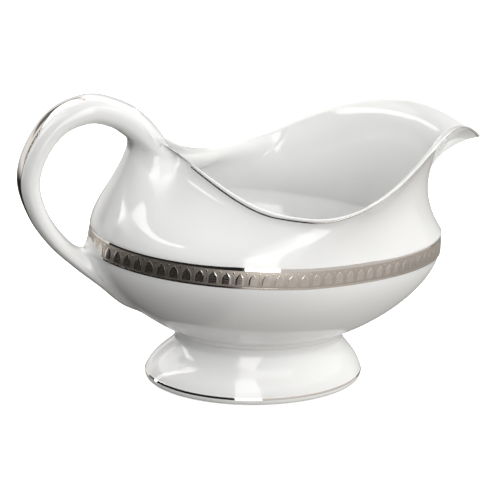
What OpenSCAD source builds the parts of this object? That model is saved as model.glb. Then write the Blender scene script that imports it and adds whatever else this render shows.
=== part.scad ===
// Footed porcelain sauce boat: thrown bowl with a pouring lip, flared oval foot,
// strap handle, and fired platinum decoration lying on the glaze.

/* [Bowl] */
// Half length of the belly where the frieze runs
belly_a = 84.7; // [75:0.1:88]
// Half width of the belly where the frieze runs
belly_b = 57.3; // [50:0.1:62]
// Height of the frieze's middle above the table, halfway along the bowl
belly_z = 73.2; // [70:0.1:78]
// Fall of the frieze towards the spout, per mm of length
belly_tilt = -0.024; // [-0.04:0.002:0]
// Fall of the frieze at both ends, at the full half length
belly_sag = -0.036; // [-0.06:0.002:0]
// Wall thickness at the belly
wall = 3.4; // [2.6:0.1:4]
// Wall thickness at the lip
lip_wall = 2.8; // [2.2:0.1:3.4]

/* [Rim and spout] */
// Height of the rim at its lowest, beside the handle
rim_z = 98.6; // [94:0.1:104]
// Rise of the rim from its lowest to the shoulders of the spout
spout_rise = 29.8; // [20:0.1:34]
// Rise of the rim's tail to the root of the handle
tail_rise = 29.5; // [20:0.1:32]
// Half width of the rim at its widest
rim_w = 56.3; // [50:0.1:60]
// Half width that keeps the tip of the spout round
lip_w = 9; // [6:0.1:10]
// Half width of the tail that the handle grows from
tail_w = 9.2; // [7:0.1:10]

/* [Foot] */
// Half length of the foot at its edge
foot_a = 53; // [48:0.1:58]
// Half width of the foot at its edge
foot_b = 35; // [32:0.1:40]
// Half length of the neck between bowl and foot
neck_a = 40; // [36:0.1:42]
// Half width of the neck between bowl and foot
neck_b = 24; // [22:0.1:26]
// Height of the neck, where the foot is luted to the bowl
neck_z = 25; // [23:0.1:27]

/* [Platinum decoration] */
// Height of the frieze with its two lines
band_h = 10; // [8:0.1:11]
// Share of that height taken by the lower polished line
low_share = 0.09; // [0.06:0.01:0.14]
// Share of that height below the upper polished line
high_share = 0.835; // [0.78:0.005:0.88]
// Thickness of the platinum, drawn thick enough to hold
film = 0.25; // [0.2:0.01:0.3]

/* [Hidden] */

steps = 72;
belly_x = 9;
belly_power = 1.81;
belly_egg = -0.104;
foot_x = 8;
neck_x = 9;
foot_edge_z = 3;
rim_x = 32;
rim_fwd = 78;
rim_back = 92;
inner_back = 71.5;
leaf_share = 0.81;
floor_z = 29.5;
floor_a = 26;
floor_b = 15;
base_inset = 1.3;
ring_wall = 4.6;
base_lift = 0.4;
foot_wall = 4.4;
line_drop = 1.4;
line_w = 1.1;
line_end = 140;
foot_line_w = 1;
line_share = 1 - foot_line_w / (neck_z - foot_edge_z);
angles = [for (i = [0:steps - 1]) i * 360 / steps];

// Centre line of the strap in the plane y = 0: x, z, half thickness, half width
strap = [[-43.5, 106, 3.6, 7], [-50.6, 116.6, 5.9, 8.7], [-59.5, 125.5, 6.3, 9.1],
         [-69, 131, 6, 8.9], [-80.5, 132.9, 5.9, 8.8], [-93.3, 127.4, 5.4, 8.6],
         [-101.9, 115.2, 4.9, 8.6], [-105.2, 100.5, 4.7, 8.6], [-100.9, 85.7, 4.2, 8.4],
         [-92.4, 72.9, 3.8, 8.2], [-80.9, 61.9, 3.5, 8], [-69.5, 52.9, 3.6, 8.2],
         [-58.6, 44.5, 4.2, 9], [-49.5, 38.9, 3, 8]];
strap_power = 2.4;
strap_rings = 52;
strap_sides = 24;
stripe_from = 16;
stripe_to = 34;
stripe_low = 5;
stripe_high = 9;

// A signed power, for superellipses
function spow(v, p) = sign(v) * pow(abs(v), p);

// A smooth step from 0 at lo to 1 at hi
function ease(v, lo, hi) = let (k = min(1, max(0, (v - lo) / (hi - lo)))) k * k * (3 - 2 * k);

// A value that runs from spout through side to back as t goes round
function around(t, spout, side, back) =
    side + ((cos(t) > 0 ? spout : back) - side) * pow(abs(cos(t)), 3);

// The outward direction in plan of the belly oval at t
function outward(t, a = belly_a, b = belly_b) =
    let (n = [cos(t) / a, sin(t) / b]) n / norm(n);

// A step of out mm outward and up mm upward
function offset_by(t, out, up) = let (n = outward(t)) [n[0] * out, n[1] * out, up];

// The belly's egg-shaped plan, tilted and sagged in height
function belly(t, lift, inset = 0) =
    let (u = (belly_a - inset) * spow(cos(t), 2 / belly_power),
         v = (belly_b - inset) * spow(sin(t), 2 / belly_power) * (1 + belly_egg * cos(t)))
    [belly_x + u, v, belly_z + lift + belly_tilt * u + belly_sag * u * u / belly_a];

// Height of the rim over the length of the bowl
function rim_height(x) =
    rim_z + spout_rise * ease(x, 8, 86) - 0.0168 * pow(max(0, x - 84), 2)
    + tail_rise * ease(-x, 5, 72);

// Half width of the rim: a cosine towards the spout, a leaf towards the handle
function rim_half(c, s, inset, tail) =
    c > 0
    ? (rim_w - lip_w - inset) * pow(abs(cos(90 * c)), 1.5) + (lip_w - inset * 0.2) * abs(s)
    : let (leaf = (rim_w - inset) * max(0, 1 - pow(abs(c) / (tail > 0 ? leaf_share : 1), 2.3)),
           strip = tail * pow(abs(s), 0.25) * ease(abs(c), 0, 0.5))
      sqrt(leaf * leaf + strip * strip);

// The rim outside, and inside where the tail is solid
function rim(t) =
    let (x = rim_x + (cos(t) > 0 ? rim_fwd : rim_back) * cos(t))
    [x, sign(sin(t)) * rim_half(cos(t), sin(t), 0, tail_w), rim_height(x)];
function rim_inside(t) =
    let (x = rim_x + (cos(t) > 0 ? rim_fwd - 5 : inner_back) * cos(t))
    [x, sign(sin(t)) * rim_half(cos(t), sin(t), lip_wall, 0), rim_height(x)];

// A cubic from a to b that leaves along u and arrives along v
function cubic(a, u, b, v, s) =
    (2 * s * s * s - 3 * s * s + 1) * a + (s * s * s - 2 * s * s + s) * u
    + (3 * s * s - 2 * s * s * s) * b + (s * s * s - s * s) * v;

// Outer wall above the frieze, with its waist and flaring lip
function lip_run(t) = offset_by(t, around(t, 92, 14, 6), around(t, 16, 22, 50));
function upper(t, s) =
    cubic(belly(t, band_h / 2), offset_by(t, around(t, -40, -12, -6), around(t, 52, 30, 46)),
          rim(t), lip_run(t), s);
function near_rim(t, d) = upper(t, 1 - d / norm(lip_run(t)));

// The belt that carries the frieze, slightly crowned
function belt(t, s, out = 0) =
    belly(t, 0) + offset_by(t, out + 0.35 * (1 - pow(2 * s - 1, 2))
                            + around(t, -0.6, 0, -0.5) * (2 * s - 1),
                            (2 * s - 1) * band_h / 2);

// An oval at height z
function oval(t, x, a, b, z) = [x + a * cos(t), b * sin(t), z];

// Outer wall below the frieze, down to the neck
function lower(t, s) =
    cubic(belly(t, -band_h / 2), offset_by(t, around(t, -3, -2, -3), around(t, -44, -46, -44)),
          oval(t, neck_x, neck_a, neck_b, neck_z),
          offset_by(t, around(t, -62, -40, -58), around(t, -26, -18, -26)), s);

// Inner wall, from the lip to the belly and from the belly to the floor
function inner_upper(t, s) =
    cubic(belly(t, 0, wall), offset_by(t, around(t, -36, -12, -6), around(t, 58, 36, 40)),
          rim_inside(t) - [0, 0, 1],
          offset_by(t, around(t, 88, 14, 30), around(t, 16, 22, 40)), s);
function inner_lower(t, s) =
    cubic(belly(t, 0, wall), offset_by(t, 0, around(t, -40, -44, -40)),
          oval(t, neck_x, floor_a, floor_b, floor_z),
          offset_by(t, around(t, -60, -36, -56), around(t, -6, -4, -6)), s);

// Foot wall from the neck (s = 0) to the edge (s = 1), inset by the wall inside
function flare(t, s, inset = 0) =
    let (k = pow(s, 1.25) - 0.09 * sin(360 * s))
    oval(t, neck_x + (foot_x - neck_x) * k, neck_a + (foot_a - neck_a) * k - inset,
         neck_b + (foot_b - neck_b) * k - inset, neck_z - (neck_z - foot_edge_z) * s);

// One ring of points, by a function of the angle
function ring_of(f) = [for (t = angles) f(t)];

// Triangles between rings, wound one way, and fans that close the two ends
function side_faces(rings, n, closed = false) =
    [for (i = [0:rings - (closed ? 1 : 2)], j = [0:n - 1])
        let (a = i * n, b = ((i + 1) % rings) * n, k = (j + 1) % n)
        each [[a + j, b + j, b + k], [a + j, b + k, a + k]]];
function end_fan(first, n, centre, flip) =
    [for (j = [0:n - 1])
        let (k = (j + 1) % n)
        flip ? [first + j, first + k, centre] : [first + k, first + j, centre]];

// A solid with rings from one closed end to the other
module loft(rings, first_point, last_point) {
    n = len(rings[0]);
    count = len(rings);
    points = concat([for (r = rings) each r], [first_point, last_point]);
    faces = concat(side_faces(count, n), end_fan(0, n, count * n, true),
                   end_fan((count - 1) * n, n, count * n + 1, false));
    polyhedron(points = points, faces = faces, convexity = 8);
}

// A solid whose rings run round a closed section
module hoop(rings) {
    polyhedron(points = [for (r = rings) each r],
               faces = side_faces(len(rings), len(rings[0]), true), convexity = 8);
}

outer_rings = concat(
    [for (i = [0:9]) ring_of(function(t) lower(t, 1 - i / 10))],
    [for (s = [0, low_share, 0.46, high_share]) ring_of(function(t) belt(t, s))],
    [ring_of(function(t) belt(t, 1))],
    [for (s = [0.1, 0.2, 0.32, 0.44, 0.56, 0.68, 0.8]) ring_of(function(t) upper(t, s))],
    [for (d = [line_drop + line_w, line_drop]) ring_of(function(t) near_rim(t, d))]);

lip_rings = [ring_of(function(t) rim(t) - [0, 0, 0.9]),
             ring_of(function(t) rim(t) * 0.7 + rim_inside(t) * 0.3),
             ring_of(function(t) rim(t) * 0.3 + rim_inside(t) * 0.7)];

inner_rings = concat(
    [for (s = [1, 0.9, 0.78, 0.64, 0.5, 0.36, 0.22, 0.1]) ring_of(function(t) inner_upper(t, s))],
    [for (s = [0, 0.14, 0.28, 0.42, 0.56, 0.7, 0.85, 1]) ring_of(function(t) inner_lower(t, s))]);

module bowl() {
    color("white")
        loft(concat(outer_rings, lip_rings, inner_rings),
             [neck_x, 0, neck_z], [neck_x, 0, floor_z - 0.3]);
}

// The bowl as if filled to the brim, which the handle is cut against
module bowl_filled() {
    loft(concat(outer_rings, [lip_rings[0], lip_rings[1]]),
         [neck_x, 0, neck_z], [rim_x, 0, rim_height(rim_x)]);
}

// A ring of the foot's edge, inset all round
function edge_ring(t, inset, z) = oval(t, foot_x, foot_a - inset, foot_b - inset, z);

// The foot: down inside, over the dry ring it stands on, and up outside
module foot() {
    color("white") hoop(concat(
        [for (s = [0, 0.2, 0.4, 0.65, 0.9]) ring_of(function(t) flare(t, s, foot_wall))],
        [ring_of(function(t) edge_ring(t, base_inset + ring_wall, base_lift)),
         ring_of(function(t) edge_ring(t, base_inset + ring_wall - 0.9, 0)),
         ring_of(function(t) edge_ring(t, base_inset + 0.9, 0)),
         ring_of(function(t) edge_ring(t, base_inset, base_lift)),
         ring_of(function(t) edge_ring(t, 0.4, 1.5)),
         ring_of(function(t) flare(t, 1)),
         ring_of(function(t) flare(t, line_share))],
        [for (s = [0.85, 0.75, 0.65, 0.55, 0.45, 0.35, 0.25, 0.15, 0.07, 0])
            ring_of(function(t) flare(t, s))]));
}

// A point on the strap's line at k, by Catmull-Rom between the listed points
function strap_at(k) =
    let (n = len(strap) - 1, i = min(n - 1, floor(k)), f = k - i,
         b = strap[i], c = strap[i + 1],
         a = i > 0 ? strap[i - 1] : 2 * b - c,
         d = i + 2 <= n ? strap[i + 2] : 2 * c - b)
    0.5 * (2 * b + (c - a) * f + (2 * a - 5 * b + 4 * c - d) * f * f
           + (3 * b - a - 3 * c + d) * f * f * f);

// A point of the strap's section r, at angle v, lifted off the surface by out
function strap_point(r, v, out = 0) =
    let (k = r / strap_rings * (len(strap) - 1),
         q = strap_at(k),
         run = strap_at(min(len(strap) - 1, k + 0.01)) - strap_at(max(0, k - 0.01)),
         tangent = [run[0], run[1]] / norm([run[0], run[1]]),
         thick = (q[2] + out) * spow(sin(v), 2 / strap_power),
         wide = q[3] * spow(cos(v), 2 / strap_power))
    [q[0] + tangent[1] * thick, wide, q[1] - tangent[0] * thick];

function strap_ring(r) =
    [for (j = [0:strap_sides - 1]) strap_point(r, j * 360 / strap_sides)];

module strap_solid() {
    rings = [for (r = [0:strap_rings]) strap_ring(r)];
    first = strap_at(0);
    last = strap_at(len(strap) - 1);
    loft([for (r = [0:strap_rings]) rings[strap_rings - r]],
         [last[0], 0, last[1]], [first[0], 0, first[1]]);
}

module handle() {
    color("white") resize([0, 0, 0]) difference() {
        strap_solid();
        bowl_filled();
    }
}

// A film on the belt between two shares of its height
module belt_film(levels) {
    n = len(levels);
    hoop(concat(
        [for (i = [0:n - 1]) ring_of(function(t) belt(t, levels[i], film))],
        [for (i = [0:n - 1]) ring_of(function(t) belt(t, levels[n - 1 - i]))]));
}

module frieze_band() {
    color("tan") belt_film([low_share, 0.46, high_share]);
}

module band_upper_line() {
    color("gainsboro") belt_film([high_share, 1]);
}

module band_lower_line() {
    color("gainsboro") belt_film([0, low_share]);
}

// A line under the lip, round the spout and back to the handle on both sides
module rim_line() {
    low = line_drop + line_w;
    rings = [for (t = [-line_end:5:line_end])
        [near_rim(t, low) + offset_by(t, film, 0), near_rim(t, line_drop) + offset_by(t, film, 0),
         near_rim(t, line_drop), near_rim(t, low)]];
    count = len(rings);
    color("gainsboro")
        loft(rings, (rings[0][0] + rings[0][2]) / 2,
             (rings[count - 1][0] + rings[count - 1][2]) / 2);
}

// A stripe down the outer back of the strap
module handle_stripe() {
    rings = [for (r = [stripe_to:-1:stripe_from])
        concat([for (j = [stripe_low:stripe_high]) strap_point(r, j * 360 / strap_sides, film)],
               [for (j = [stripe_high:-1:stripe_low]) strap_point(r, j * 360 / strap_sides)])];
    n = len(rings[0]);
    count = len(rings);
    color("gainsboro") polyhedron(
        points = [for (r = rings) each r],
        faces = concat(side_faces(count, n), [[for (j = [0:n - 1]) j]],
                       [[for (j = [n - 1:-1:0]) (count - 1) * n + j]]),
        convexity = 8);
}

// A line round the edge of the foot
module foot_line() {
    color("gainsboro") hoop([
        ring_of(function(t) flare(t, 1, -film)),
        ring_of(function(t) flare(t, line_share, -film)),
        ring_of(function(t) flare(t, line_share)),
        ring_of(function(t) flare(t, 1))]);
}

bowl();
foot();
handle();
frieze_band();
band_upper_line();
band_lower_line();
rim_line();
handle_stripe();
foot_line();
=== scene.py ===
import math

import bpy
import numpy as np
from mathutils import Matrix, Vector


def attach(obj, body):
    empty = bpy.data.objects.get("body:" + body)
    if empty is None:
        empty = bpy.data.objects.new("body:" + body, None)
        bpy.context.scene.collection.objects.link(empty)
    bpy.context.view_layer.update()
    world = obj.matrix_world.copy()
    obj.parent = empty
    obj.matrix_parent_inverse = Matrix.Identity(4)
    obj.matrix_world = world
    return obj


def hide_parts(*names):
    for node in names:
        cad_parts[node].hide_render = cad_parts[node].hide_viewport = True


# Footed porcelain sauce boat: bowl with a pouring lip, flared oval foot, high strap handle,
# platinum lines, and a platinum frieze of leaf arches and beads. Shapes are worked out in mm.
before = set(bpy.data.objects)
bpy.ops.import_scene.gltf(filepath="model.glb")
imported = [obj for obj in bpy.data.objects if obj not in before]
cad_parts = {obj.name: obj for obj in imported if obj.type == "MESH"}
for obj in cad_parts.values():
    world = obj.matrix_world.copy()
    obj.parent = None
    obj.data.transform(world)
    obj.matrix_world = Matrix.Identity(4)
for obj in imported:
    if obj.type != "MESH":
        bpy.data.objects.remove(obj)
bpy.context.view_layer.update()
MM = 0.001

# ---------------------------------------------------------------- shapes of the ware

BELLY_X, BELLY_A, BELLY_B = 9.0, 84.7, 57.3
BELLY_POWER, BELLY_EGG = 1.81, -0.104
BELLY_Z, BELLY_TILT, BELLY_SAG = 73.2, -0.024, -0.036
WALL, LIP_WALL = 3.4, 2.8
RIM_X, RIM_FORWARD, RIM_BACK, INNER_BACK = 32.0, 78.0, 92.0, 71.5
RIM_W, LIP_W, TAIL_W, LEAF_SHARE = 56.3, 9.0, 9.2, 0.81
RIM_Z, SPOUT_RISE, TAIL_RISE = 98.6, 29.8, 29.5
NECK_X, NECK_A, NECK_B, NECK_Z = 9.0, 40.0, 24.0, 25.0
FLOOR_A, FLOOR_B, FLOOR_Z = 26.0, 15.0, 29.5
FOOT_X, FOOT_A, FOOT_B, FOOT_EDGE_Z, FOOT_WALL = 8.0, 53.0, 35.0, 3.0, 4.4
BAND_H, LOW_SHARE, HIGH_SHARE = 10.0, 0.09, 0.835
LIP_START = 1.3
ROUND = np.linspace(0, 2 * np.pi, 320, endpoint=False)


def spow(v, p):
    """A signed power, for superellipses."""
    return np.sign(v) * np.abs(v) ** p


def ease(v, lo, hi):
    """A smooth step from 0 at lo to 1 at hi."""
    k = np.clip((v - lo) / (hi - lo), 0, 1)
    return k * k * (3 - 2 * k)


def around(t, spout, side, back):
    """A value that runs from spout through side to back as the angle goes round."""
    end = np.where(np.cos(t) > 0, spout, back)
    return side + (end - side) * np.abs(np.cos(t)) ** 3


def offset_by(t, out, up):
    """A step outward from the belly oval and upward."""
    nx, ny = np.cos(t) / BELLY_A, np.sin(t) / BELLY_B
    size = np.hypot(nx, ny)
    return np.stack([nx / size * out, ny / size * out, up + 0 * nx], -1)


def cubic(a, u, b, v, s):
    """A cubic curve from a, leaving along u, to b, arriving along v."""
    s = np.asarray(s, float)[..., None]
    return ((2 * s**3 - 3 * s**2 + 1) * a + (s**3 - 2 * s**2 + s) * u
            + (3 * s**2 - 2 * s**3) * b + (s**3 - s**2) * v)


def belly(t, lift, inset=0.0):
    """An egg-shaped superellipse, tilted along its length and sagging at both ends."""
    u = (BELLY_A - inset) * spow(np.cos(t), 2 / BELLY_POWER)
    v = (BELLY_B - inset) * spow(np.sin(t), 2 / BELLY_POWER) * (1 + BELLY_EGG * np.cos(t))
    return np.stack([BELLY_X + u, v, BELLY_Z + lift + BELLY_TILT * u
                     + BELLY_SAG * u * u / BELLY_A], -1)


def oval(t, x, a, b, z):
    """A level ellipse."""
    return np.stack([x + a * np.cos(t), b * np.sin(t), z + 0 * t], -1)


def rim_height(x):
    """Two smooth rises from the low middle, to the spout and to the handle, rounded at the tip."""
    return (RIM_Z + SPOUT_RISE * ease(x, 8, 86) - 0.0168 * np.clip(x - 84, 0, None) ** 2
            + TAIL_RISE * ease(-x, 5, 72))


def rim_half(c, s, inset, tail):
    """Half width of the rim: a cosine towards the spout, a leaf and a strip towards the handle."""
    v = np.clip(np.abs(c), 0, 1)
    front = ((RIM_W - LIP_W - inset) * np.cos(np.pi / 2 * v) ** 1.5
             + (LIP_W - inset * 0.2) * np.abs(s))
    share = LEAF_SHARE if tail > 0 else 1.0
    leaf = (RIM_W - inset) * np.clip(1 - (v / share) ** 2.3, 0, None)
    strip = tail * np.abs(s) ** 0.25 * ease(v, 0, 0.5)
    return np.where(c > 0, front, np.hypot(leaf, strip))


def rim(t):
    """The rim seen from outside."""
    c, s = np.cos(t), np.sin(t)
    x = RIM_X + np.where(c > 0, RIM_FORWARD, RIM_BACK) * c
    return np.stack([x, np.sign(s) * rim_half(c, s, 0.0, TAIL_W), rim_height(x)], -1)


def rim_inside(t):
    """The rim's inner edge, which is rounded off before the solid tail."""
    c, s = np.cos(t), np.sin(t)
    x = RIM_X + np.where(c > 0, RIM_FORWARD - 5, INNER_BACK) * c
    return np.stack([x, np.sign(s) * rim_half(c, s, LIP_WALL, 0.0), rim_height(x)], -1)


def lip_run(t):
    """The direction in which the outer wall reaches the rim."""
    return offset_by(t, around(t, 92, 14, 6), around(t, 16, 22, 50))


def upper(t, s):
    """Outer wall above the frieze: a cubic with a waist and a flaring lip."""
    return cubic(belly(t, BAND_H / 2), offset_by(t, around(t, -40, -12, -6), around(t, 52, 30, 46)),
                 rim(t), lip_run(t), s)


def near_rim(t, d):
    """The outer wall d mm under the rim."""
    return upper(t, 1 - d / np.linalg.norm(lip_run(t), axis=-1))


def belt(t, s, out=0.0):
    """The belt that carries the frieze, slightly crowned, lifted outward by out."""
    lean = around(t, -0.6, 0.0, -0.5) * (2 * s - 1)
    crown = 0.35 * (1 - (2 * s - 1) ** 2)
    return belly(t, 0.0) + offset_by(t, out + crown + lean, (2 * s - 1) * BAND_H / 2)


def lower(t, s):
    """Outer wall below the frieze: a cubic down to the neck."""
    return cubic(belly(t, -BAND_H / 2), offset_by(t, around(t, -3, -2, -3), around(t, -44, -46, -44)),
                 oval(t, NECK_X, NECK_A, NECK_B, NECK_Z),
                 offset_by(t, around(t, -62, -40, -58), around(t, -26, -18, -26)), s)


def inner_upper(t, s):
    """Inner wall from the belly to the lip."""
    return cubic(belly(t, 0.0, WALL), offset_by(t, around(t, -36, -12, -6), around(t, 58, 36, 40)),
                 rim_inside(t) - np.array([0, 0, 1.0]),
                 offset_by(t, around(t, 88, 14, 30), around(t, 16, 22, 40)), s)


def inner_lower(t, s):
    """Inner wall from the belly to the floor."""
    return cubic(belly(t, 0.0, WALL), offset_by(t, 0.0, around(t, -40, -44, -40)),
                 oval(t, NECK_X, FLOOR_A, FLOOR_B, FLOOR_Z),
                 offset_by(t, around(t, -60, -36, -56), around(t, -6, -4, -6)), s)


def flare(t, s, inset=0.0):
    """The foot's wall from the neck, where s is 0, to its edge: a power of s less a small sine."""
    k = np.asarray(s, float) ** 1.25 - 0.09 * np.sin(2 * np.pi * s)
    return np.stack([NECK_X + (FOOT_X - NECK_X) * k + (NECK_A + (FOOT_A - NECK_A) * k - inset) * np.cos(t),
                     (NECK_B + (FOOT_B - NECK_B) * k - inset) * np.sin(t),
                     NECK_Z - (NECK_Z - FOOT_EDGE_Z) * s + 0 * t], -1)


BELLY_END, FLARE_START = 0.87, 0.26


def neck(t, s):
    """The soft waist over the foot: a cubic that leaves along the belly and arrives along the flare."""
    leave = lower(t, BELLY_END + 0.01) - lower(t, BELLY_END - 0.01)
    arrive = flare(t, FLARE_START + 0.01) - flare(t, FLARE_START - 0.01)
    start, end = lower(t, BELLY_END), flare(t, FLARE_START)
    corner = oval(t, NECK_X, NECK_A, NECK_B, NECK_Z)
    reach = np.linalg.norm(corner - start, axis=-1, keepdims=True) * 1.6
    drop = np.linalg.norm(corner - end, axis=-1, keepdims=True) * 1.6
    leave = leave / np.linalg.norm(leave, axis=-1, keepdims=True) * reach
    arrive = arrive / np.linalg.norm(arrive, axis=-1, keepdims=True) * drop
    return cubic(start, leave, end, arrive, s)


def rows_of(shape, shares, t=ROUND):
    """Rings of a shape at several shares of its height, as one array."""
    return shape(t[None, :] + 0 * shares[:, None], shares[:, None] + 0 * t[None, :])


def oval_rows(x, a, b, heights, shares, t=ROUND):
    """Rings of a shallow dish: ovals shrunk by shares, at their own heights."""
    return np.stack([oval(t, x, a * k, b * k, z) for k, z in zip(shares, heights)])


# The strap's centre line in the plane y = 0: x, z, half thickness, half width
STRAP = np.array([
    [-43.5, 106.0, 3.6, 7.0], [-50.6, 116.6, 5.9, 8.7], [-59.5, 125.5, 6.3, 9.1],
    [-69.0, 131.0, 6.0, 8.9], [-80.5, 132.9, 5.9, 8.8], [-93.3, 127.4, 5.4, 8.6],
    [-101.9, 115.2, 4.9, 8.6], [-105.2, 100.5, 4.7, 8.6], [-100.9, 85.7, 4.2, 8.4],
    [-92.4, 72.9, 3.8, 8.2], [-80.9, 61.9, 3.5, 8.0], [-69.5, 52.9, 3.6, 8.2],
    [-58.6, 44.5, 4.2, 9.0], [-49.5, 38.9, 3.0, 8.0]])
STRAP_POWER = 2.4


def strap_line(u):
    """A Catmull-Rom curve through the listed points: position, thickness and width at u in 0 to 1."""
    n = len(STRAP) - 1
    k = np.clip(np.asarray(u, float) * n, 0, n - 1e-9)
    i = np.floor(k).astype(int)
    f = (k - i)[..., None]
    b, c = STRAP[i], STRAP[i + 1]
    a = np.where((i > 0)[..., None], STRAP[np.maximum(i - 1, 0)], 2 * b - c)
    d = np.where((i + 2 <= n)[..., None], STRAP[np.minimum(i + 2, n)], 2 * c - b)
    return 0.5 * (2 * b + (c - a) * f + (2 * a - 5 * b + 4 * c - d) * f**2
                  + (3 * b - a - 3 * c + d) * f**3)


def strap_frame(u):
    """Strap line, and its direction in the plane as two numbers."""
    line = strap_line(u)
    run = strap_line(np.minimum(u + 1e-3, 1)) - strap_line(np.maximum(u - 1e-3, 0))
    size = np.hypot(run[..., 0], run[..., 1])
    return line, run[..., 0] / size, run[..., 1] / size


def strap(u, v, out=0.0):
    """A superellipse carried along the strap's line; v is the angle round it."""
    line, tx, tz = strap_frame(u)
    thick = (line[..., 2] + out) * spow(np.sin(v), 2 / STRAP_POWER)
    wide = (line[..., 3] + out) * spow(np.cos(v), 2 / STRAP_POWER)
    return np.stack([line[..., 0] + tz * thick, wide, line[..., 1] - tx * thick], -1)


# ---------------------------------------------------------------- soft joints in the clay

FILLET = 9.0
SAMPLE_GAP = 2.5


def strap_gap(points):
    """Signed distance to the strap's skin, and its direction: the superellipse's value over its slope."""
    u = np.linspace(0, 1, 420)
    line, tx, tz = strap_frame(u)
    flat = points.reshape(-1, 3)
    near = np.argmin((flat[:, :1] - line[None, :, 0]) ** 2 + (flat[:, 2:] - line[None, :, 1]) ** 2, 1)
    q, ax, az = line[near], tx[near], tz[near]
    dx, dz = flat[:, 0] - q[:, 0], flat[:, 2] - q[:, 1]
    off = dx * az - dz * ax
    along = np.abs(dx * ax + dz * az)
    m = STRAP_POWER
    p, w = off / q[:, 2], flat[:, 1] / q[:, 3]
    g = np.maximum((np.abs(p) ** m + np.abs(w) ** m) ** (1 / m), 1e-6)
    gp = spow(p, m - 1) * g ** (1 - m) / q[:, 2]
    gw = spow(w, m - 1) * g ** (1 - m) / q[:, 3]
    slope = np.maximum(np.hypot(gp, gw), 1e-6)
    gap = np.hypot(np.maximum((g - 1) / slope, 0), along) + np.minimum((g - 1) / slope, 0)
    way = np.stack([gp * az, gw, -gp * ax], -1) / slope[:, None]
    return gap.reshape(points.shape[:-1]), way.reshape(points.shape)


def wall_gap(points, wall, wall_way):
    """Signed distance to the bowl's skin: the plane of its nearest sample, and how far past it sideways."""
    flat = points.reshape(-1, 3).astype(np.float32)
    skin = wall.astype(np.float32)
    size = (skin**2).sum(1)
    near = np.concatenate([np.argmin(size[None, :] - 2 * part @ skin.T, 1)
                           for part in np.array_split(flat, max(1, len(flat) // 2000))])
    way = wall_way[near]
    away = flat - wall[near]
    gap = (away * way).sum(1)
    beside = np.sqrt(np.maximum((away**2).sum(1) - gap**2, 0))
    gap = np.where(gap > 0, np.hypot(gap, np.maximum(beside - SAMPLE_GAP, 0)), gap)
    return gap.reshape(points.shape[:-1]), way.reshape(points.shape)


def grid_normals(points, closed=True):
    """Unit normals of a grid of points, from the cross product of its two directions."""
    if closed:
        across = np.roll(points, -1, 1) - np.roll(points, 1, 1)
    else:
        across = np.gradient(points, axis=1)
    along = np.gradient(points, axis=0)
    way = np.cross(across, along)
    return way / np.maximum(np.linalg.norm(way, axis=-1, keepdims=True), 1e-9)


def swell(points, normals, other):
    """Moves skin along its normals to the smooth union of two solids, never past halfway between them."""
    moved = np.zeros(len(points))
    for _ in range(9):
        gap, way = other(points + normals * moved[:, None])
        round_by = FILLET * np.clip(1.02 - (normals * way).sum(-1), 0.05, 1)
        h = np.clip(0.5 + 0.5 * (gap - moved) / round_by, 0, 1)
        union = gap + (moved - gap) * h - round_by * h * (1 - h)
        open_to = (union < -0.004) & (gap > 0) & (moved < gap)
        moved = moved + np.where(open_to, 0.85 * np.minimum(-union, (gap - moved) * 0.6 + 0.002), 0)
    spots = points + normals * moved[:, None]
    gap, way = other(spots)
    h = np.clip(0.5 + 0.5 * (gap - moved) / round_by, 0, 1)[:, None]
    mixed = normals * h + way * (1 - h)
    mixed /= np.maximum(np.linalg.norm(mixed, axis=-1, keepdims=True), 1e-9)
    return spots, np.where(moved[:, None] > 0.01, mixed, normals)


# ---------------------------------------------------------------- meshes

def add_piece(name, points, material, nodes, closed=True, ends=True, normals=None):
    """A skin over a grid of points: rows of quads, closed round each row, with a fan over both ends."""
    rows, cols = points.shape[:2]
    index = np.arange(rows * cols).reshape(rows, cols)
    right = np.roll(index, -1, 1) if closed else index[:, 1:]
    left = index if closed else index[:, :-1]
    quads = np.stack([left[:-1], right[:-1], right[1:], left[1:]], -1).reshape(-1, 4)
    verts = points.reshape(-1, 3)
    fans = np.zeros((0, 3), int)
    if ends:
        verts = np.vstack([verts, points[0].mean(0), points[-1].mean(0)])
        first, last = rows * cols, rows * cols + 1
        fans = np.concatenate([
            np.stack([np.full(cols, first), np.roll(index[0], -1), index[0]], -1),
            np.stack([np.full(cols, last), index[-1], np.roll(index[-1], -1)], -1)])
    return finish_mesh(name, verts, quads, fans, material, nodes, normals)


def finish_mesh(name, verts, quads, tris, material, nodes, normals=None):
    """Builds the mesh from whole arrays and turns it right side out by the sign of its volume."""
    corners = verts[np.concatenate([quads[:, :3], quads[:, [0, 2, 3]], tris])]
    middle = corners.reshape(-1, 3).mean(0)
    corners = corners - middle
    if np.einsum("ij,ij->", corners[:, 0], np.cross(corners[:, 1], corners[:, 2])) < 0:
        quads, tris = quads[:, ::-1], tris[:, ::-1]
    mesh = bpy.data.meshes.new(name)
    mesh.vertices.add(len(verts))
    mesh.vertices.foreach_set("co", (verts * MM).astype(np.float32).ravel())
    loops = np.concatenate([quads.ravel(), tris.ravel()]).astype(np.int32)
    counts = np.concatenate([np.full(len(quads), 4), np.full(len(tris), 3)]).astype(np.int32)
    mesh.loops.add(len(loops))
    mesh.loops.foreach_set("vertex_index", loops)
    mesh.polygons.add(len(counts))
    mesh.polygons.foreach_set("loop_start", np.concatenate([[0], np.cumsum(counts)[:-1]]).astype(np.int32))
    mesh.polygons.foreach_set("loop_total", counts)
    mesh.polygons.foreach_set("use_smooth", np.ones(len(counts), bool))
    mesh.update(calc_edges=True)
    mesh.validate()
    if normals is not None:
        mesh.normals_split_custom_set_from_vertices(normals.reshape(-1, 3).tolist())
    piece = bpy.data.objects.new(name, mesh)
    bpy.context.scene.collection.objects.link(piece)
    mesh.materials.append(material)
    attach(piece, "root")
    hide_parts(*nodes)
    return piece


# ---------------------------------------------------------------- shader maths

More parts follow.
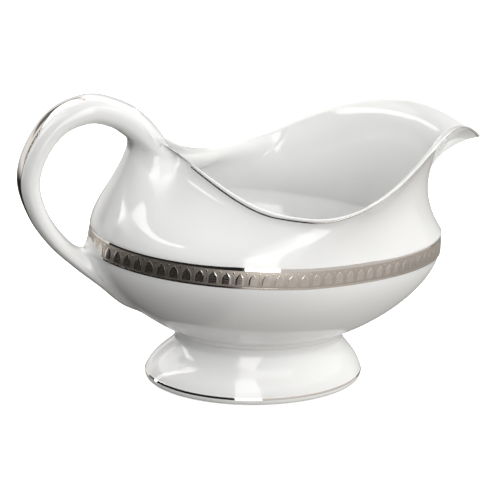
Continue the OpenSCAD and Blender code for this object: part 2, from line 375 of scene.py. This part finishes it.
class Wire:
    """A shader socket that takes part in ordinary arithmetic."""

    def __init__(self, bench, socket):
        self.bench = bench
        self.socket = socket

    def maths(self, operation, a, b):
        return self.bench.node("ShaderNodeMath", {"operation": operation}, {0: a, 1: b})

    def __add__(self, other):
        return self.maths("ADD", self, other)

    def __radd__(self, other):
        return self.maths("ADD", other, self)

    def __sub__(self, other):
        return self.maths("SUBTRACT", self, other)

    def __rsub__(self, other):
        return self.maths("SUBTRACT", other, self)

    def __mul__(self, other):
        return self.maths("MULTIPLY", self, other)

    def __rmul__(self, other):
        return self.maths("MULTIPLY", other, self)


class Bench:
    """A node tree under construction."""

    def __init__(self, tree):
        self.tree = tree
        tree.nodes.clear()

    def node(self, kind, settings=None, inputs=None, output=0):
        made = self.tree.nodes.new(kind)
        for key, value in (settings or {}).items():
            if key == "stops":
                ramp = made.color_ramp
                while len(ramp.elements) < len(value):
                    ramp.elements.new(0.5)
                for element, (place, colour) in zip(ramp.elements, value):
                    element.position = place
                    element.color = colour
            else:
                setattr(made, key, value)
        for key, value in (inputs or {}).items():
            if isinstance(value, Wire):
                self.tree.links.new(value.socket, made.inputs[key])
            else:
                made.inputs[key].default_value = value
        return Wire(self, made.outputs[output]) if len(made.outputs) else None

    def ramp(self, value, lo, hi):
        """0 below lo, 1 above hi, smooth between."""
        return self.node("ShaderNodeMapRange", {"interpolation_type": "SMOOTHSTEP"},
                         {"Value": value, "From Min": lo, "From Max": hi})

    def mix(self, factor, first, second):
        """A colour between two colours."""
        return self.node("ShaderNodeMix", {"data_type": "RGBA"}, {0: factor, 6: first, 7: second}, 2)

    def place(self):
        """Position on the piece, in metres."""
        return self.node("ShaderNodeTexCoord", None, None, "Object")

    def noise(self, scale, detail=2.0, rough=0.5):
        return self.node("ShaderNodeTexNoise", None,
                         {"Vector": self.place(), "Scale": scale, "Detail": detail, "Roughness": rough})

    def height(self):
        """Height above the table, in metres."""
        return self.node("ShaderNodeSeparateXYZ", None, {0: self.place()}, "Z")

    def bump(self, height, distance, under=None):
        inputs = {"Height": height, "Distance": distance, "Strength": 1.0}
        if under is not None:
            inputs["Normal"] = under
        return self.node("ShaderNodeBump", None, inputs)


def new_material(name):
    material = bpy.data.materials.new(name)
    material.use_nodes = True
    return material, Bench(material.node_tree)


def close_material(bench, inputs):
    shader = bench.node("ShaderNodeBsdfPrincipled", None, inputs)
    bench.node("ShaderNodeOutputMaterial", None, {"Surface": shader})


def glazed_porcelain(name, dry_below=None):
    """White body under clear glaze: slow waves in the glaze, a faint cool tint where it is thick,
    fine peel, and a dry sandy ring where the foot stands."""
    material, bench = new_material(name)
    pools = bench.ramp(bench.noise(26.0, 3.0), 0.35, 0.75)
    colour = bench.mix(pools, (0.868, 0.872, 0.868, 1), (0.845, 0.853, 0.848, 1))
    rough = 0.045 + 0.035 * bench.noise(55.0, 3.0)
    waves = bench.bump(bench.noise(34.0, 1.0), 0.00007)
    skin = bench.bump(bench.noise(620.0, 2.0), 0.0000045, waves)
    if dry_below is not None:
        grain = bench.noise(2400.0, 4.0, 0.7)
        edge = bench.height() + 0.0002 * bench.noise(300.0)
        dry = 1 - bench.ramp(edge, dry_below, dry_below + 0.0002)
        colour = bench.mix(dry, colour, bench.mix(grain, (0.70, 0.66, 0.60, 1), (0.84, 0.81, 0.76, 1)))
        rough = rough + dry * 0.55
        skin = bench.bump(grain * dry, 0.00005, skin)
    close_material(bench, {"Base Color": colour, "Roughness": rough, "IOR": 1.5, "Normal": skin,
                           "Coat Weight": 0.25, "Coat Roughness": 0.03, "Coat IOR": 1.5})
    return material


def polished_platinum(name):
    """Burnished fired platinum: warm grey metal, with faint cloudy wear and a fine burnish."""
    material, bench = new_material(name)
    cloud = bench.noise(240.0, 4.0, 0.6)
    colour = bench.mix(cloud, (0.74, 0.695, 0.65, 1), (0.82, 0.785, 0.745, 1))
    rough = 0.03 + 0.035 * bench.ramp(cloud, 0.35, 0.75)
    skin = bench.bump(bench.noise(900.0, 3.0), 0.000004)
    close_material(bench, {"Base Color": colour, "Metallic": 1.0, "Roughness": rough, "Normal": skin})
    return material


def matte_platinum(name):
    """Etched platinum: a warm taupe ground with fine grain."""
    material, bench = new_material(name)
    grain = bench.noise(4200.0, 3.0, 0.65)
    cloud = bench.noise(160.0, 3.0)
    colour = bench.mix(0.5 * grain + 0.5 * cloud, (0.50, 0.44, 0.39, 1), (0.70, 0.635, 0.575, 1))
    rough = 0.36 + 0.12 * grain
    skin = bench.bump(grain, 0.00003)
    close_material(bench, {"Base Color": colour, "Metallic": 1.0, "Roughness": rough, "Normal": skin})
    return material


glaze_bowl = glazed_porcelain("glaze_bowl")
glaze_handle = glazed_porcelain("glaze_handle")
glaze_foot = glazed_porcelain("glaze_foot", dry_below=0.00035)
platinum = polished_platinum("platinum_burnished")
platinum_ground = matte_platinum("platinum_etched")

# ---------------------------------------------------------------- bowl

t_grid = ROUND[None, :]
lip_out, lip_in = near_rim(ROUND, LIP_START), inner_upper(ROUND, np.full(ROUND.shape, 0.985))
lip_up = near_rim(ROUND, LIP_START - 0.1) - lip_out
lip_up /= np.linalg.norm(lip_up, axis=-1, keepdims=True)
lip_down = inner_upper(ROUND, np.full(ROUND.shape, 0.975)) - lip_in
lip_down /= np.linalg.norm(lip_down, axis=-1, keepdims=True)
lip_span = np.linalg.norm(lip_in - lip_out, axis=-1, keepdims=True)
lip_pull = np.minimum(lip_span * 1.35, 5.5)
LIP_STEPS = np.linspace(0, 1, 13)[1:-1]
lip = np.stack([cubic(lip_out, lip_up * lip_pull, lip_in, lip_down * lip_pull, np.full(ROUND.shape, k))
                for k in LIP_STEPS])
UPPER_STEPS = np.linspace(0, 1, 74)[:-1]
upper_reach = 1 - LIP_START / np.linalg.norm(lip_run(ROUND), axis=-1)
upper_rows = upper(t_grid + 0 * UPPER_STEPS[:, None], UPPER_STEPS[:, None] * upper_reach)
bowl_outside = np.concatenate([
    oval_rows(NECK_X, NECK_A, NECK_B, (26.2, 25.9, 25.4, 25.0), (0.25, 0.5, 0.75, 0.93)),
    rows_of(neck, np.linspace(0.5, 0, 9)[:-1]),
    rows_of(lower, np.linspace(BELLY_END, 0, 42)[:-1]),
    rows_of(belt, np.linspace(0, 1, 13)[:-1]),
    upper_rows, lip_out[None]])
bowl_inside = np.concatenate([
    lip, rows_of(inner_upper, np.linspace(0.985, 0, 46)[:-1]),
    rows_of(inner_lower, np.linspace(0, 1, 36)),
    oval_rows(NECK_X, FLOOR_A, FLOOR_B, (29.4, 29.3, 29.25), (0.8, 0.5, 0.2))])
bowl_points = np.concatenate([bowl_outside, bowl_inside])
bowl_normals = grid_normals(bowl_points)
if (bowl_normals[60] * offset_by(ROUND, 1.0, 0.0)).sum() < 0:
    bowl_normals = -bowl_normals

skin_rows = len(bowl_outside) + len(LIP_STEPS)
wall_skin = bowl_points[4:skin_rows:2, ::2]
near_handle = wall_skin[..., 0] < -24
wall_way = bowl_normals[4:skin_rows:2, ::2][near_handle]
wall_skin = wall_skin[near_handle]


def to_wall(points):
    return wall_gap(points, wall_skin, wall_way)


work = bowl_points[4:len(bowl_outside)]
close_by = (work[..., 0] < -28) & (strap_gap(work)[0] < FILLET + 1)
spots, ways = swell(work[close_by], bowl_normals[4:len(bowl_outside)][close_by], strap_gap)
bowl_points[4:len(bowl_outside)][close_by] = spots
bowl_normals[4:len(bowl_outside)][close_by] = ways
bowl_all_normals = np.vstack([bowl_normals.reshape(-1, 3), [[0, 0, -1], [0, 0, 1]]])
add_piece("bowl_body", bowl_points, glaze_bowl, ["bowl"], normals=bowl_all_normals)

# ---------------------------------------------------------------- handle

u_grid = np.linspace(0, 1, 340)[:, None]
v_grid = np.linspace(0, 2 * np.pi, 96, endpoint=False)[None, :]
strap_points = strap(u_grid + 0 * v_grid, v_grid + 0 * u_grid)
strap_normals = grid_normals(strap_points)
if (strap_normals[170] * (strap_points[170] - strap_points[170].mean(0))).sum() < 0:
    strap_normals = -strap_normals
TOP_ROOT, LOW_ROOT, BURIED = 0.22, 0.72, 0.85
everywhere = np.ones(v_grid.shape, bool)
touching = ((u_grid < TOP_ROOT) | (u_grid > LOW_ROOT)) & everywhere
spots, ways = swell(strap_points[touching], strap_normals[touching], to_wall)
strap_points[touching] = spots
strap_normals[touching] = ways
DEPTH = 1.6
low_end = (u_grid > BURIED) & everywhere
sunk, wall_up = to_wall(strap_points[low_end])
strap_points[low_end] += wall_up * np.clip(-DEPTH - sunk, 0, None)[:, None]
strap_all_normals = np.vstack([strap_normals.reshape(-1, 3), [[1, 0, 0], [1, 0, 0]]])
add_piece("handle_strap", strap_points, glaze_handle, ["handle"],
          normals=strap_all_normals)

# ---------------------------------------------------------------- foot


def edge_ring(t, inset, z):
    return oval(t, FOOT_X, FOOT_A - inset, FOOT_B - inset, z)


edge_turn = np.linspace(0, 1, 9)[1:]
foot_edge = np.stack([edge_ring(ROUND, 1.35 * (1 - math.cos(k * math.pi / 2)),
                                3.0 - 2.65 * math.sin(k * math.pi / 2)) for k in edge_turn])
dry_ring = np.stack([edge_ring(ROUND, inset, z) for inset, z in
                     ((1.6, 0.12), (2.0, 0.0), (3.4, 0.0), (4.8, 0.0), (5.3, 0.1), (5.75, 0.45), (6.0, 1.0))])
foot_inside = rows_of(lambda t, s: flare(t, s, FOOT_WALL), np.linspace(0.88, 0, 30))
foot_outside = np.concatenate([rows_of(neck, np.linspace(0.5, 1, 14)[:-1]),
                               rows_of(flare, np.linspace(FLARE_START, 1, 44))])
foot_points = np.concatenate([foot_outside, foot_edge, dry_ring, foot_inside])
foot_points = np.concatenate([foot_points, foot_points[:1]])
add_piece("foot_body", foot_points, glaze_foot, ["foot"], ends=False)

# ---------------------------------------------------------------- platinum lines

FILM, FILM_BASE, SUNK = 0.035, 0.004, 0.05


def ribbon(skin, lo, hi, t):
    """A thin raised ribbon round the ware: flat over the skin, falling at both edges, closed underneath."""
    k = np.array([0, 0.004, 0.02, 0.1, 0.5, 0.9, 0.98, 0.996, 1])
    top = [skin(t, np.full(t.shape, lo + (hi - lo) * s), FILM * (1 - (2 * s - 1) ** 120) + FILM_BASE)
           for s in k]
    under = [skin(t, np.full(t.shape, lo + (hi - lo) * s), -SUNK) for s in k[::-1]]
    rows = np.stack(top + under)
    return np.concatenate([rows, rows[:1]])


FINE = np.linspace(0, 2 * np.pi, 900, endpoint=False)


def rim_skin(t, d, out):
    return near_rim(t, d) + offset_by(t, out, 0.0)


def foot_skin(t, s, out):
    return flare(t, s, -out)


add_piece("band_line_high", ribbon(belt, HIGH_SHARE, 1.0, FINE), platinum,
          ["band_upper_line"], ends=False)
add_piece("band_line_low", ribbon(belt, 0.0, LOW_SHARE, FINE), platinum,
          ["band_lower_line"], ends=False)
RIM_LINE_END, RIM_LINE_DROP, RIM_LINE_HALF = 2.44, 1.95, 0.5
line_t = RIM_LINE_END * np.sin(np.linspace(-np.pi / 2, np.pi / 2, 800))
line_fade = np.sqrt(np.clip(1 - np.abs(line_t / RIM_LINE_END) ** 60, 0, 1))
line_rows = [rim_skin(line_t, RIM_LINE_DROP + RIM_LINE_HALF * k * line_fade,
                      FILM * (1 - k**6) + FILM_BASE) for k in np.linspace(-1, 1, 7)]
line_rows += [rim_skin(line_t, RIM_LINE_DROP + RIM_LINE_HALF * k * line_fade, -SUNK)
              for k in np.linspace(1, -1, 7)]
add_piece("rim_thread", np.stack(line_rows, 1), platinum, ["rim_line"])
FOOT_LINE_FROM = 0.955
add_piece("foot_thread", ribbon(foot_skin, FOOT_LINE_FROM, 1.0, FINE), platinum,
          ["foot_line"], ends=False)

STRIPE_FROM, STRIPE_TO, STRIPE_HALF, STRIPE_MIDDLE = 0.308, 0.65, 0.31, np.pi / 2 + 0.20
stripe_u = np.linspace(STRIPE_FROM, STRIPE_TO, 220)[:, None]
stripe_k = np.linspace(-1, 1, 13)[None, :]
stripe_share = (stripe_u - STRIPE_FROM) / (STRIPE_TO - STRIPE_FROM)
stripe_half = STRIPE_HALF * np.sqrt(np.clip(1 - np.abs(2 * stripe_share - 1) ** 9, 0, 1)) + 0.01
stripe_top = strap(stripe_u + 0 * stripe_k, STRIPE_MIDDLE + stripe_half * stripe_k,
                   FILM * (1 - np.abs(stripe_k) ** 6) + FILM_BASE)
stripe_under = strap(stripe_u + 0 * stripe_k, STRIPE_MIDDLE + stripe_half * stripe_k[:, ::-1], -SUNK)
add_piece("handle_ribbon", np.concatenate([stripe_top, stripe_under], 1), platinum,
          ["handle_stripe"])

# ---------------------------------------------------------------- frieze

ARCHES = 77
GROUND_LIFT = 0.03
GROUND_STEPS = np.concatenate([[0, 0.002, 0.01], np.linspace(0.1, 0.9, 9), [0.99, 0.998, 1]])
ground_rows = np.concatenate([
    np.stack([belt(FINE, np.full(FINE.shape, LOW_SHARE + (HIGH_SHARE - LOW_SHARE) * k), GROUND_LIFT)
              for k in GROUND_STEPS]),
    np.stack([belt(FINE, np.full(FINE.shape, LOW_SHARE + (HIGH_SHARE - LOW_SHARE) * k), -0.05)
              for k in GROUND_STEPS[::-1]])])
ground_rows = np.concatenate([ground_rows, ground_rows[:1]])
add_piece("frieze_ground", ground_rows, platinum_ground, ["frieze_band"], ends=False)

walk = np.linspace(0, 2 * np.pi, 4001)
walk_points = belt(walk, np.full(walk.shape, 0.45))
walked = np.concatenate([[0], np.cumsum(np.linalg.norm(np.diff(walk_points, axis=0), axis=1))])
GIRTH = walked[-1]
PITCH = GIRTH / ARCHES


def on_belt(along, up, out):
    """A point of the frieze by its distance along the belt and up the frieze, in mm, lifted by out."""
    t = np.interp(np.mod(along, GIRTH), walked, walk)
    return belt(t, up / BAND_H, out)


def repeated(name, x, z, out, material, phase):
    """One small raised shape, given as a grid of along, up and lift, set once in each pitch."""
    starts = (np.arange(ARCHES) + phase) * PITCH
    rows, cols = x.shape
    along = starts[:, None, None] + x[None]
    points = on_belt(along, z[None] + 0 * along, out[None] + 0 * along)
    index = np.arange(rows * cols).reshape(rows, cols)
    cell = np.stack([index[:-1, :-1], index[:-1, 1:], index[1:, 1:], index[1:, :-1]], -1).reshape(-1, 4)
    quads = (cell[None] + (np.arange(ARCHES) * rows * cols)[:, None, None]).reshape(-1, 4)
    return finish_mesh(name, points.reshape(-1, 3), quads, np.zeros((0, 3), int), material,
                       ["frieze_band"])


def plateau(grid_x, grid_y, rise):
    """A flat top over a patch from -1 to 1 each way, falling below the ground just at its edges."""
    edge = np.maximum(np.abs(grid_x), np.abs(grid_y))
    return GROUND_LIFT - 0.02 + (rise + 0.02) * (1 - edge**90)


CRISP = np.array([-1, -0.992, -0.96, -0.5, 0, 0.5, 0.96, 0.992, 1])
ARCH_BASE, ARCH_TIP, ARCH_HALF = 1.75, 7.3, 0.33 * PITCH
across = CRISP[None, :]
upward = np.concatenate([[0, 0.004, 0.02, 0.2, 0.38], np.linspace(0.45, 0.9, 8), [0.95, 0.985, 1]])[:, None]
shoulder = 0.40
ogive = 1 - np.clip((upward - shoulder) / (1 - shoulder), 0, 1) ** 1.8 * 0.985
arch_x = ARCH_HALF * ogive * across
arch_z = ARCH_BASE + (ARCH_TIP - ARCH_BASE) * upward + 0 * across
arch_out = plateau(across + 0 * upward, 2 * upward - 1 + 0 * across, 0.02)
repeated("frieze_arches", arch_x, arch_z, arch_out, platinum, 0.5)

angle = np.linspace(0, 2 * np.pi, 13)[None, :]
ring = np.array([0, 0.5, 0.93, 0.99, 1])[:, None]
BEAD_R = 0.42
bead_z = 7.2 + BEAD_R * ring * np.sin(angle)
repeated("frieze_beads", BEAD_R * ring * np.cos(angle), bead_z,
         GROUND_LIFT - 0.02 + 0.045 * (1 - ring**90) + 0 * angle,
         platinum, 0.0)

stem_up = np.linspace(0, 1, 10)[:, None]
stem_reach = 0.10 + 0.34 * stem_up**2.2
for side, name in ((-1, "frieze_stems_left"), (1, "frieze_stems_right")):
    stem_k = np.array([-1, -0.97, -0.85, 0.85, 0.97, 1])[None, :]
    repeated(name, side * stem_reach + 0.08 * stem_k + 0 * stem_up,
             2.0 + 4.6 * stem_up + 0 * stem_k,
             plateau(stem_k + 0 * stem_up, 2 * stem_up - 1 + 0 * stem_k, 0.02),
             platinum, 0.0)

VEINS = 6
for side, name in ((-1, "frieze_veins_left"), (1, "frieze_veins_right")):
    for row in range(VEINS):
        foot_share = 0.06 + 0.145 * row
        reach = ARCH_HALF * 0.72 * (1.0 if foot_share < 0.4 else 1 - ((foot_share - 0.3) / 0.75) ** 1.6)
        vein_s = np.linspace(0, 1, 5)[None, :]
        vein_k = np.linspace(-1, 1, 3)[:, None]
        x = side * (0.09 + (reach - 0.09) * vein_s) + 0 * vein_k
        z = (ARCH_BASE + (ARCH_TIP - ARCH_BASE) * foot_share + 0.42 * vein_s
             + 0.06 * vein_k * (1 - 0.5 * vein_s))
        lift_here = GROUND_LIFT + 0.045 - 0.02 * vein_k**2 - 0.01 * vein_s + 0 * x
        repeated(f"{name}_{row + 1}", x, z, lift_here, platinum_ground, 0.5)

# ---------------------------------------------------------------- stage


def stage_plane(name, size, z):
    mesh = bpy.data.meshes.new(name)
    h = size / 2
    mesh.from_pydata([(-h, -h, z), (h, -h, z), (h, h, z), (-h, h, z)], [], [(0, 1, 2, 3)])
    obj = bpy.data.objects.new(name, mesh)
    bpy.context.scene.collection.objects.link(obj)
    return obj


floor = stage_plane("floor", 40.0, -0.0002)
paper, bench = new_material("floor_paper")
shade = bench.node("ShaderNodeBsdfDiffuse", None, {"Color": (0.9, 0.9, 0.9, 1)})
glow = bench.node("ShaderNodeEmission", None, {"Color": (1, 1, 1, 1), "Strength": 0.62})
both = bench.node("ShaderNodeAddShader", None, {0: shade, 1: glow})
bench.node("ShaderNodeOutputMaterial", None, {"Surface": both})
floor.data.materials.append(paper)
floor.visible_glossy = False
floor.visible_diffuse = False
floor.visible_shadow = False

world = bpy.data.worlds.new("room")
bpy.context.scene.world = world
world.use_nodes = True
bench = Bench(world.node_tree)
way = bench.node("ShaderNodeTexCoord", None, None, "Generated")
way_x = bench.node("ShaderNodeSeparateXYZ", None, {0: way}, "X")
way_y = bench.node("ShaderNodeSeparateXYZ", None, {0: way}, "Y")
way_z = bench.node("ShaderNodeSeparateXYZ", None, {0: way}, "Z")
turn = bench.node("ShaderNodeMath", {"operation": "ARCTAN2"}, {0: way_x, 1: 0 - way_y})


def sector(lo, hi, soft):
    """1 between two compass angles in degrees, with soft edges."""
    lo, hi, soft = math.radians(lo), math.radians(hi), math.radians(soft)
    return bench.ramp(turn, lo - soft, lo + soft) * (1 - bench.ramp(turn, hi - soft, hi + soft))


def storey(lo, hi):
    """1 between two heights of the direction's upward share, with soft edges."""
    return bench.ramp(way_z, lo - 0.06, lo + 0.06) * (1 - bench.ramp(way_z, hi - 0.06, hi + 0.06))


under = 1 - bench.ramp(way_z, -0.36, -0.16)
# Light of the room by direction: low to the horizon, high above it, and below under it
low = (0.02 + 0.90 * sector(-178, -112, 2.0) + 0.66 * sector(-10, 108, 1.5)
       + 0.25 * sector(108, 179, 2.0)
       - 0.78 * sector(-136, -108, 3.0) * bench.ramp(way_z, -0.10, -0.04)
       - 0.75 * sector(-176, -150, 3.0) * bench.ramp(way_z, 0.00, 0.06))
high = 0.28 + 2.1 * sector(-178, -89, 6.0) + 1.40 * sector(-10, 108, 6.0) + 1.9 * sector(108, 178, 6.0)
below = 0.02 + 0.50 * sector(-10, 80, 8.0) + 0.34 * sector(80, 178, 8.0)
light = below * under + low * (1 - under) * (1 - bench.ramp(way_z, 0.26, 0.42)) + high * storey(0.34, 0.82)
light = light - 0.25 * sector(-108, -12, 2.0) * storey(0.30, 0.46)
tone = bench.mix(under, (1.0, 0.985, 0.965, 1), (1.0, 0.955, 0.905, 1))
sky = bench.node("ShaderNodeBackground", None, {"Color": tone, "Strength": light})
bench.node("ShaderNodeOutputWorld", None, {"Surface": sky})


def panel(name, place, toward, upright, width, height, radiance):
    """A soft box at a place, facing a point, with its height along a direction."""
    lamp = bpy.data.lights.new(name, "AREA")
    lamp.shape = "RECTANGLE"
    lamp.size = width
    lamp.size_y = height
    lamp.energy = radiance * math.pi * width * height
    obj = bpy.data.objects.new(name, lamp)
    back = (Vector(place) - Vector(toward)).normalized()
    side = Vector(upright).cross(back).normalized()
    axes = Matrix((side, back.cross(side), back)).transposed().to_4x4()
    obj.matrix_world = Matrix.Translation(place) @ axes
    obj.visible_camera = False
    bpy.context.scene.collection.objects.link(obj)
    return obj


panel("front_box", (-0.03, -1.5, 0.75), (-0.03, 0, 0.75), (0, 0, 1), 0.50, 1.95, 2.9)
panel("top_box", (0.15, -1.1, 1.72), (0.15, -1.1, 0.0), (0, 1, 0), 0.60, 0.80, 1.5)
panel("side_box", (0.85, -0.95, 1.72), (0.85, -0.95, 0.0), (0, 1, 0), 0.80, 1.10, 1.3)
panel("left_strip", (-1.4, 0.10, 0.94), (0, 0, 0.07), (0, -0.5, 0.866), 0.20, 2.4, 4.4)

# ---------------------------------------------------------------- camera

CAMERA_PLACE = (-0.26330, -0.72392, 0.37465)
YAW, RISE, ROLL = 0.34907, 0.38397, -0.09670
cy, sy = math.cos(YAW), math.sin(YAW)
ce, se = math.cos(RISE), math.sin(RISE)
cr, sr = math.cos(ROLL), math.sin(ROLL)
look = (np.array([[cr, -sr, 0], [sr, cr, 0], [0, 0, 1]])
        @ np.array([[1, 0, 0], [0, se, ce], [0, -ce, se]])
        @ np.array([[cy, -sy, 0], [sy, cy, 0], [0, 0, 1]]))
camera_data = bpy.data.cameras.new("camera")
camera_data.sensor_width = 36.0
camera_data.lens = 129.552
camera_data.clip_end = 100.0
camera = bpy.data.objects.new("camera", camera_data)
turned = Matrix([list(row) for row in look.T]).to_4x4()
camera.matrix_world = Matrix.Translation(CAMERA_PLACE) @ turned
bpy.context.scene.collection.objects.link(camera)
bpy.context.scene.camera = camera
bpy.context.scene.view_settings.view_transform = "Standard"
